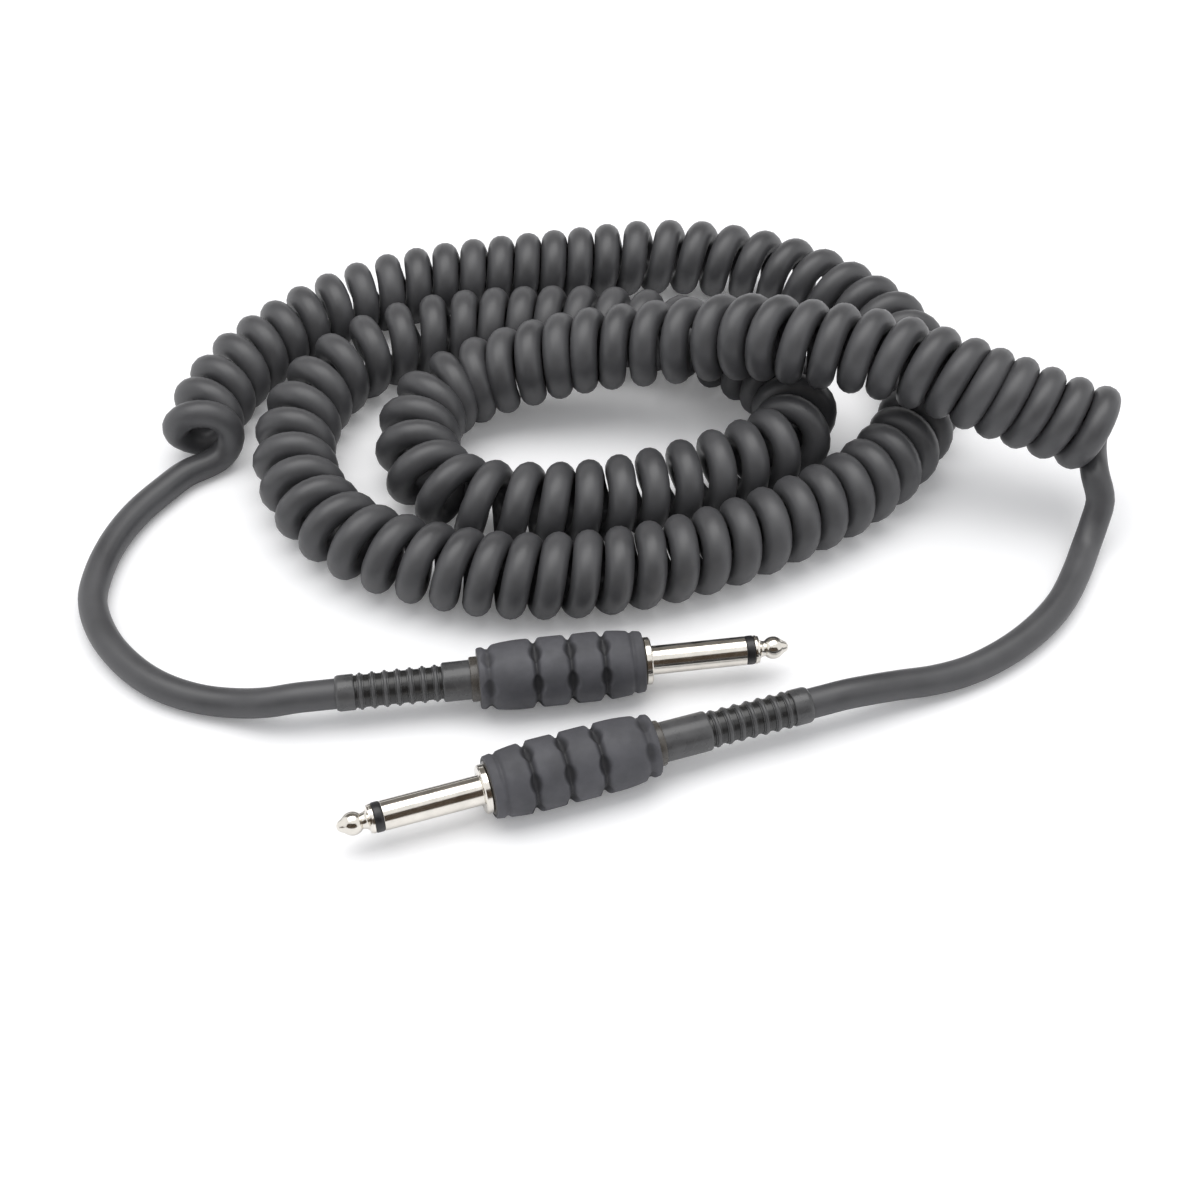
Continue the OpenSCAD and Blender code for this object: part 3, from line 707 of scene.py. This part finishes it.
class CABLE_OT_turn_contacts(bpy.types.Operator):
    """Turn both plugs' sleeve contacts, with collar and thread, and their tip contacts"""

    bl_idname = "cable.turn_contacts"
    bl_label = "Turn the plug contacts"

    def execute(self, context):
        plug = context.scene.cable_plug
        for side in SIDES:
            self.sleeve(plug, side)
            self.tip(plug, side)
        return {"FINISHED"}

    def sleeve(self, plug, side):
        """The shaft, the collar behind its shoulder, and the boss with its thread, bored through."""
        shaft = plug.shaft_d / MM / 2
        bore, core, crest, collar = 2.1, 3.78, 4.2, 5.2
        bm = turned([
            (bore, RING_BACK), (shaft - 0.12, RING_BACK), (shaft, RING_BACK - 0.12), (shaft, 0.35),
            (shaft + 0.1, 0.1), (shaft + 0.35, 0), (collar - 0.25, 0), (collar, -0.25), (collar, -1.25),
            (collar - 0.25, -1.5), (core, -1.5), (core, BOSS_BACK + 0.2), (core - 0.2, BOSS_BACK),
            (bore, BOSS_BACK),
        ], 128, closed=True)
        # the thread is a ridge with a narrow crest, carried round and back by its pitch
        pitch = plug.thread_pitch / MM
        start, end = -2.9, -8.9
        turns = (start - end) / pitch
        steps = round(turns * 48)
        ridge = [
            bm.verts.new((r * MM, 0, (start + z) * MM))
            for r, z in ((core - 0.1, 0.42), (crest, 0.07), (crest, -0.07), (core - 0.1, -0.42))
        ]
        edges = [bm.edges.new(pair) for pair in zip(ridge, ridge[1:])] + [bm.edges.new((ridge[-1], ridge[0]))]
        bm.faces.new(ridge)
        wound = bmesh.ops.spin(
            bm, geom=edges, cent=(0, 0, 0), axis=(0, 0, 1), dvec=(0, 0, (end - start) * MM / steps),
            angle=math.tau * turns, steps=steps, use_merge=False, use_duplicate=False)
        last = [g for g in wound["geom_last"] if isinstance(g, bmesh.types.BMEdge)]
        bmesh.ops.contextual_create(bm, geom=last)
        bmesh.ops.recalc_face_normals(bm, faces=bm.faces)
        set_piece("plated_sleeve", bm, side, "cable", finish("nickel_plate", side), "sleeve")

    def tip(self, plug, side):
        """The tip contact: a short land, a concave neck and the ball, on the rod that carries it."""
        shaft = plug.shaft_d / MM / 2 - 0.04
        ball = plug.ball_d / MM / 2
        ball_at = RING_FRONT + 4.35
        neck = 1.7
        rod = 1.2
        rivet = LUG_BACK - 0.7
        profile = [(0, RING_FRONT - 0.02), (shaft - 0.15, RING_FRONT), (shaft, RING_FRONT + 0.12),
                   (shaft, RING_FRONT + 0.55), (shaft - 0.12, RING_FRONT + 0.72)]
        # a concave flank runs into the neck, and a short fillet leads up on to the ball
        profile += round_points(shaft - 0.12, RING_FRONT + 2.35, shaft - 0.12 - neck, -92, -178, 7)
        profile += [(neck, RING_FRONT + 2.5)]
        profile += round_points(0, ball_at, ball, -44, 42, 12)
        profile += [(r, TIP_END - z) for r, z in ((1.42, 1.15), (1.12, 0.55), (0.78, 0.2), (0.4, 0.04), (0, 0))]
        bm = turned(profile, 96)
        # the rod that carries it, riveted behind the tip lug
        stem = turned([
            (0, RING_FRONT), (rod, RING_FRONT), (rod, LUG_BACK - 0.05), (1.8, LUG_BACK - 0.05),
            (1.75, LUG_BACK - 0.45), (rod, rivet), (0, rivet),
        ], 48)
        mesh = bpy.data.meshes.new("stem")
        stem.to_mesh(mesh)
        stem.free()
        bm.from_mesh(mesh)
        bpy.data.meshes.remove(mesh)
        set_piece("plated_tip", bm, side, "cable", finish("nickel_plate", side), "tip_contact")


class CABLE_OT_fit_rings(bpy.types.Operator):
    """Fit the black rings that part the tips from the sleeves"""

    bl_idname = "cable.fit_rings"
    bl_label = "Fit the insulating rings"

    def execute(self, context):
        shaft = context.scene.cable_plug.shaft_d / MM / 2
        bore = 1.25
        for side in SIDES:
            bm = turned([
                (bore, RING_BACK + 0.05), (shaft - 0.1, RING_BACK + 0.05), (shaft, RING_BACK + 0.2),
                (shaft + 0.03, (RING_BACK + RING_FRONT) / 2), (shaft, RING_FRONT - 0.2),
                (shaft - 0.12, RING_FRONT - 0.05), (bore, RING_FRONT - 0.05),
            ], 96, closed=True)
            set_piece("insulating_ring", bm, side, "cable", finish("nylon_ring"), "tip_insulator")
        return {"FINISHED"}


class CABLE_OT_mould_grips(bpy.types.Operator):
    """Mould the barrel-shaped rubber grips with their grooves and finger hollows"""

    bl_idname = "cable.mould_grips"
    bl_label = "Mould the rubber grips"

    # each groove's place as a share of the grip's length from its front, half width in mm and depth factor
    GROOVES = ((0.067, 0.42, 0.45), (0.242, 0.6, 1.0), (0.446, 0.6, 1.0), (0.655, 0.6, 1.0), (0.939, 0.6, 0.62))
    BORE = 5.85
    ROWS = 150

    def execute(self, context):
        plug = context.scene.cable_plug
        length = GRIP_FRONT - GRIP_BACK
        for side in SIDES:
            shares = [k / self.ROWS for k in range(self.ROWS + 1)]
            outline = [(self.barrel(t), GRIP_FRONT - length * t) for t in shares]
            # the rims are broken
            outline[0] = (outline[0][0] - 0.25, outline[0][1])
            outline[-1] = (outline[-1][0] - 0.2, outline[-1][1])
            bm = turned([(self.BORE, GRIP_FRONT)] + outline + [(self.BORE, GRIP_BACK)], 180, closed=True)
            for vert in bm.verts:
                radius = math.hypot(vert.co.x, vert.co.y)
                if radius < (self.BORE + 0.01) * MM:
                    continue
                t = (GRIP_FRONT - vert.co.z / MM) / length
                angle = math.degrees(math.atan2(vert.co.y, vert.co.x)) - GRIP_TURN[side]
                cut = self.cut(t * length, angle, length, plug.groove_depth / MM, plug.hollow_depth / MM)
                lower = max(radius - cut * MM, (self.BORE + 0.1) * MM)
                vert.co.x *= lower / radius
                vert.co.y *= lower / radius
            # painted shade from 0.35 mm below the barrel, and fully so 0.75 mm deeper
            mark_grooves(bm, lambda at: (
                (self.barrel((GRIP_FRONT - at.z / MM) / length) - math.hypot(at.x, at.y) / MM - 0.35) / 0.75))
            set_piece(
                "rubber_grip", bm, side, "handle_" + side, finish("tpe_grip"), "handle_grip", 60)
        return {"FINISHED"}

    def barrel(self, t):
        """Radius of the grip before the grooves, at a share of its length: straight between two tapers."""
        taper_end, taper_start = 0.3, 0.72
        rim, swell = 6.6, 1.0
        if t < taper_end:
            return rim + swell * math.sin(math.pi / 2 * t / taper_end)
        if t < taper_start:
            return rim + swell
        return rim + swell * math.cos(math.pi / 2 * (t - taper_start) / (1 - taper_start))

    def cut(self, along, angle, length, groove, hollow):
        """How deep the rubber is cut away: crowned pads, soft grooves, and six lens-shaped hollows in most."""
        at = [g[0] * length for g in self.GROOVES]
        depth = 0.0
        for place, (share, half, factor) in zip(at, self.GROOVES):
            off = abs(along - place)
            if off < half * 2:
                depth = max(depth, groove * factor * (0.5 + 0.5 * math.cos(math.pi * off / (half * 2))))
            if factor > 0.5:
                # a hollow every 60 degrees, 19 degrees to each side of its middle
                turn = (angle + 30) % 60 - 30
                reach = max(0.0, 1 - (turn / 19) ** 2)
                wide = half + 1.05 * reach
                if reach and off < wide:
                    fall = 0.5 + 0.5 * math.cos(math.pi * off / wide)
                    depth = max(depth, (groove + hollow * reach**0.5) * factor * fall**0.6)
        # each pad bulges a little between its grooves
        for a, b in zip(at, at[1:]):
            if a < along < b:
                depth += 0.1 * abs(2 * (along - a) / (b - a) - 1) ** 3
        return depth


class CABLE_OT_mould_shells(bpy.types.Operator):
    """Mould the hard handle shells that the grips sit on"""

    bl_idname = "cable.mould_shells"
    bl_label = "Mould the handle shells"

    def execute(self, context):
        outer, rear, hole, bore, thread = 5.8, 4.9, 4.36, 4.95, 4.26
        for side in SIDES:
            bm = turned([
                (outer - 0.2, SHELL_FRONT), (outer, SHELL_FRONT - 0.2), (outer, GRIP_BACK + 0.15),
                (outer - 0.15, GRIP_BACK), (rear + 0.15, GRIP_BACK), (rear, GRIP_BACK - 0.15),
                (rear, SHELL_BACK + 0.4), (rear - 0.08, SHELL_BACK + 0.12), (rear - 0.28, SHELL_BACK),
                (hole + 0.09, SHELL_BACK + 0.05), (hole, SHELL_BACK + 0.25), (hole, INNER_BACK),
                (bore, INNER_BACK), (bore, BOSS_BACK - 0.5), (thread, BOSS_BACK - 0.5),
                (thread, SHELL_FRONT - 0.3), (thread + 0.24, SHELL_FRONT),
            ], 128, closed=True)
            set_piece(
                "hard_shell", bm, side, "handle_" + side, finish("abs_shell"), "handle_shell")
        return {"FINISHED"}


class CABLE_OT_mould_boots(bpy.types.Operator):
    """Mould the flexible boots: flange, smooth neck, ribs and end collar"""

    bl_idname = "cable.mould_boots"
    bl_label = "Mould the strain boots"

    def execute(self, context):
        gap = context.scene.cable_plug.rib_gap_d / MM / 2
        bore, neck, flange, collar = 3.31, 4.3, 4.89, 3.95
        ribs, pitch, rib_width, crest, crest_round = 7, 2.7, 1.4, 3.62, 0.44
        for side in SIDES:
            back = boot_end(side)
            seat = INNER_BACK + 0.06 + BOOT_IN[side]
            ribs_from = SHELL_BACK - 10.5 + BOOT_IN[side]
            outline = [
                (bore, seat + 1.2), (flange, seat + 1.2), (flange, seat), (neck, seat),
                (neck, ribs_from + 0.5), (neck - 0.08, ribs_from + 0.2), (neck - 0.3, ribs_from),
            ]
            for k in range(ribs):
                top = ribs_from - (k + 0.26) * pitch
                low = top - rib_width
                outline += [(gap, ribs_from - k * pitch - 0.12), (gap, top + 0.08), (gap + 0.2, top)]
                outline += round_points(crest, (top + low) / 2, crest_round, 80, -80, 8)
                outline += [(gap + 0.2, low), (gap, low - 0.08)]
            last = back + 4.1
            outline += [
                (gap, last + 0.1), (collar - 0.15, last), (collar, last - 0.25), (collar, back + 0.85),
                (collar - 0.07, back + 0.5), (collar - 0.27, back + 0.12), (collar - 0.45, back), (bore, back),
            ]
            bm = turned(outline, 96, closed=True)
            # painted shade between the ribs, from 3.85 mm out, and fully so 0.3 mm further in
            mark_grooves(bm, lambda at: (
                (3.85 - math.hypot(at.x, at.y) / MM) / 0.3 if last < at.z / MM < ribs_from else 0.0))
            set_piece(
                "ribbed_boot", bm, side, "boot_" + side, finish("pvc_boot"), "strain_boot", 50)
        return {"FINISHED"}


class CABLE_OT_finish_inside(bpy.types.Operator):
    """Give the lugs, washers, liners, solder and stripped cord inside the handles their finishes"""

    bl_idname = "cable.finish_inside"
    bl_label = "Finish the parts inside"

    def execute(self, context):
        for side in SIDES:
            for node, kind in INNER_FINISHES.items():
                self.dress(node + "_" + side, finish(kind, side))
        for name in ("cord_lead_a", "cord_lead_b", "cord_curls"):
            self.dress(name, finish("pvc_jacket"))
        return {"FINISHED"}

    def dress(self, name, material):
        """Gives a CAD node one material in place of its own."""
        materials = frame["nodes"][name].data.materials
        materials.clear()
        materials.append(material)


class CABLE_OT_set_stage(bpy.types.Operator):
    """Set the paper floor, the dark cards that the metal mirrors, the lamp and the pale surroundings"""

    bl_idname = "cable.set_stage"
    bl_label = "Set the stage"

    def execute(self, context):
        self.floor(context)
        self.card("card_front", (0.0, -1.5, 0.95), (1.8, 0.85), "#594e44")
        self.card("card_back", (0.0, 1.6, 1.5), (2.2, 1.1), "#8d8983")
        self.lamp(context)
        self.surroundings(context)
        context.scene.view_settings.view_transform = "Standard"
        return {"FINISHED"}

    def floor(self, context):
        """The paper that the cable lies on."""
        # Matt white paper, calendered: pale with a 0.6 mm tooth far too shallow to catch the light
        colour = context.scene.cable_colours.paper
        material, tree, shader, space = new_material(
            "background_paper", {"Roughness": 0.9, "Specular IOR Level": 0.2})
        tint(tree, shader, clouds(tree, space, 40, 3), shade(colour, 0.995), shade(colour, 1.005))
        grain(tree, shader, space, 0.6, 2, 0.004)
        # The camera sees the paper a little overexposed
        seen = add_node(tree, "ShaderNodeLightPath").outputs["Is Camera Ray"]
        glow = add_node(tree, "ShaderNodeMath", {"operation": "MULTIPLY", 1: 0.12}, {0: seen}).outputs[0]
        tree.links.new(glow, shader.inputs["Emission Strength"])
        bm = bmesh.new()
        bmesh.ops.create_grid(bm, x_segments=8, y_segments=8, size=6.0)
        bmesh.ops.translate(bm, vec=(0, 0, -0.00006), verts=bm.verts)
        add_object("paper_floor", bm, material)

    def card(self, name, at, half, colour):
        """A card that stands upright along X, with its middle and half its sides in metres."""
        # Matt card, dyed through: only mirrors see it
        material, tree, shader, space = new_material(
            name + "_board", {"Roughness": 1.0, "Specular IOR Level": 0.0})
        dye = add_node(
            tree, "ShaderNodeTexNoise", {"Scale": 1000 / 60, "Detail": 2.0, "Roughness": 0.55}, {"Vector": space})
        tint(tree, shader, dye.outputs["Fac"], shade(colour, 0.95), shade(colour, 1.05))
        bm = bmesh.new()
        bmesh.ops.create_grid(bm, x_segments=4, y_segments=4, size=1.0)
        upright = Matrix.Rotation(math.radians(90), 4, "X")
        place = Matrix.Translation(at) @ upright @ Matrix.Diagonal((half[0], half[1], 1, 1))
        bmesh.ops.transform(bm, matrix=place, verts=bm.verts)
        card = add_object(name, bm, material)
        card.visible_camera = False
        card.visible_diffuse = False
        card.visible_shadow = False
        card.visible_transmission = False

    def lamp(self, context):
        """One soft lamp above the coil and a little behind it."""
        data = bpy.data.lights.new("soft_overhead", "AREA")
        data.shape = "RECTANGLE"
        data.size = 1.5
        data.size_y = 0.9
        data.energy = 10.0
        data.color = (1.0, 0.995, 0.985)
        lamp = bpy.data.objects.new("soft_overhead", data)
        lamp.location = (-0.06, 0.22, 1.15)
        aim = Vector((0.0, 0.06, 0.0)) - lamp.location
        lamp.rotation_euler = aim.to_track_quat("-Z", "Y").to_euler()
        context.scene.collection.objects.link(lamp)

    def surroundings(self, context):
        """A pale room that lights the cable gently, and shows white to the camera and in the metal."""
        world = bpy.data.worlds.new("pale_room")
        world.use_nodes = True
        tree = world.node_tree
        tree.nodes.clear()
        path = add_node(tree, "ShaderNodeLightPath")
        seen = add_node(
            tree, "ShaderNodeMath", {"operation": "MAXIMUM"},
            {0: path.outputs["Is Camera Ray"], 1: path.outputs["Is Glossy Ray"]}).outputs[0]
        light = add_node(tree, "ShaderNodeBackground", {"Color": linear("#f6f7f9"), "Strength": 0.72})
        white = add_node(tree, "ShaderNodeBackground", {"Color": linear("#fdfdfd"), "Strength": 1.0})
        both = add_node(tree, "ShaderNodeMixShader", None, {0: seen, 1: light.outputs[0], 2: white.outputs[0]})
        add_node(tree, "ShaderNodeOutputWorld", None, {"Surface": both.outputs[0]})
        context.scene.world = world


class CABLE_PT_panel(bpy.types.Panel):
    """Lists the cable's settings and the pieces that can be built"""

    bl_idname = "CABLE_PT_panel"
    bl_label = "Instrument cable"
    bl_space_type = "VIEW_3D"
    bl_region_type = "UI"
    bl_category = "Cable"

    def draw(self, context):
        layout = self.layout
        for group in (context.scene.cable_cord, context.scene.cable_plug, context.scene.cable_colours):
            box = layout.box()
            for key in group.__annotations__:
                box.prop(group, key)
        for operator in OPERATORS:
            layout.operator(operator.bl_idname)


GROUPS = {"cable_cord": CordSettings, "cable_plug": PlugSettings, "cable_colours": ColourSettings}
OPERATORS = (
    CABLE_OT_place_camera, CABLE_OT_lay_cord, CABLE_OT_turn_contacts, CABLE_OT_fit_rings, CABLE_OT_mould_grips,
    CABLE_OT_mould_shells, CABLE_OT_mould_boots, CABLE_OT_finish_inside, CABLE_OT_set_stage,
)


def register():
    """Registers the settings, operators and panel."""
    for group in GROUPS.values():
        bpy.utils.register_class(group)
    for name, group in GROUPS.items():
        setattr(bpy.types.Scene, name, bpy.props.PointerProperty(type=group))
    for cls in OPERATORS + (CABLE_PT_panel,):
        bpy.utils.register_class(cls)


def unregister():
    """Takes away what register added."""
    for cls in (CABLE_PT_panel,) + OPERATORS[::-1]:
        bpy.utils.unregister_class(cls)
    for name, group in GROUPS.items():
        delattr(bpy.types.Scene, name)
        bpy.utils.unregister_class(group)


def main():
    """Builds the whole cable and its stage."""
    register()
    bpy.ops.cable.place_camera()
    bpy.ops.cable.lay_cord()
    bpy.ops.cable.turn_contacts()
    bpy.ops.cable.fit_rings()
    bpy.ops.cable.mould_grips()
    bpy.ops.cable.mould_shells()
    bpy.ops.cable.mould_boots()
    bpy.ops.cable.finish_inside()
    bpy.ops.cable.set_stage()


if __name__ == "__main__":
    main()
